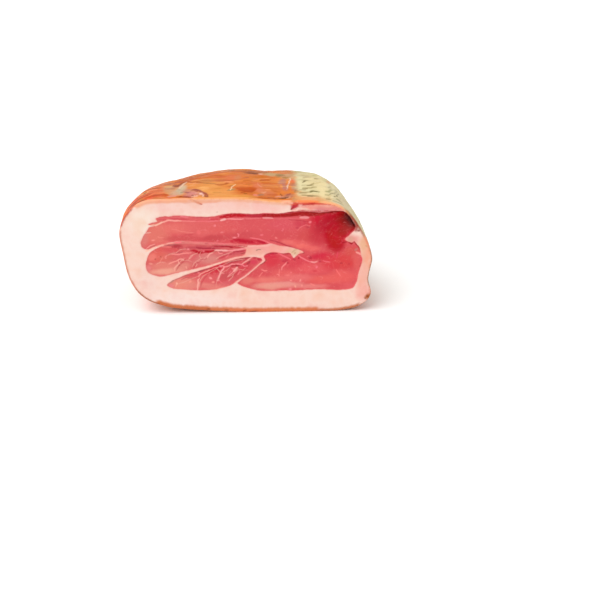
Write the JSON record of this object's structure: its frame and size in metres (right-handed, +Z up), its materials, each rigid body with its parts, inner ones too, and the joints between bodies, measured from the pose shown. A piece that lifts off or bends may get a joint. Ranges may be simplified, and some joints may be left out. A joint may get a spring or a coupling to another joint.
{
  "type": "boneless cured ham half",
  "caption": "Pressed boneless cured ham cut in half: a coat of fat under an orange rind holds lean muscles that show in the flat cut.",
  "frame": {"origin": "on the table, under the middle of the ham", "axes": "+X along the width of the cut, to the right as seen from in front; -Y out of the cut, +Y towards the rounded back end; +Z up"},
  "size_m": [0.2413, 0.185, 0.1203],
  "materials": {
    "fat_with_rind": "pale pink-cream fat with a satin gloss on the cut, under an orange smoked rind with khaki-cream wrinkles on one side",
    "lean": "moist rose-red cured meat with fine pale marbling, satin gloss"
  },
  "bodies": {
    "root": {"fat_with_rind": "fat_with_rind", "main_lean": "lean", "middle_lean": "lean", "lower_lean": "lean"}
  },
  "joints": []
}
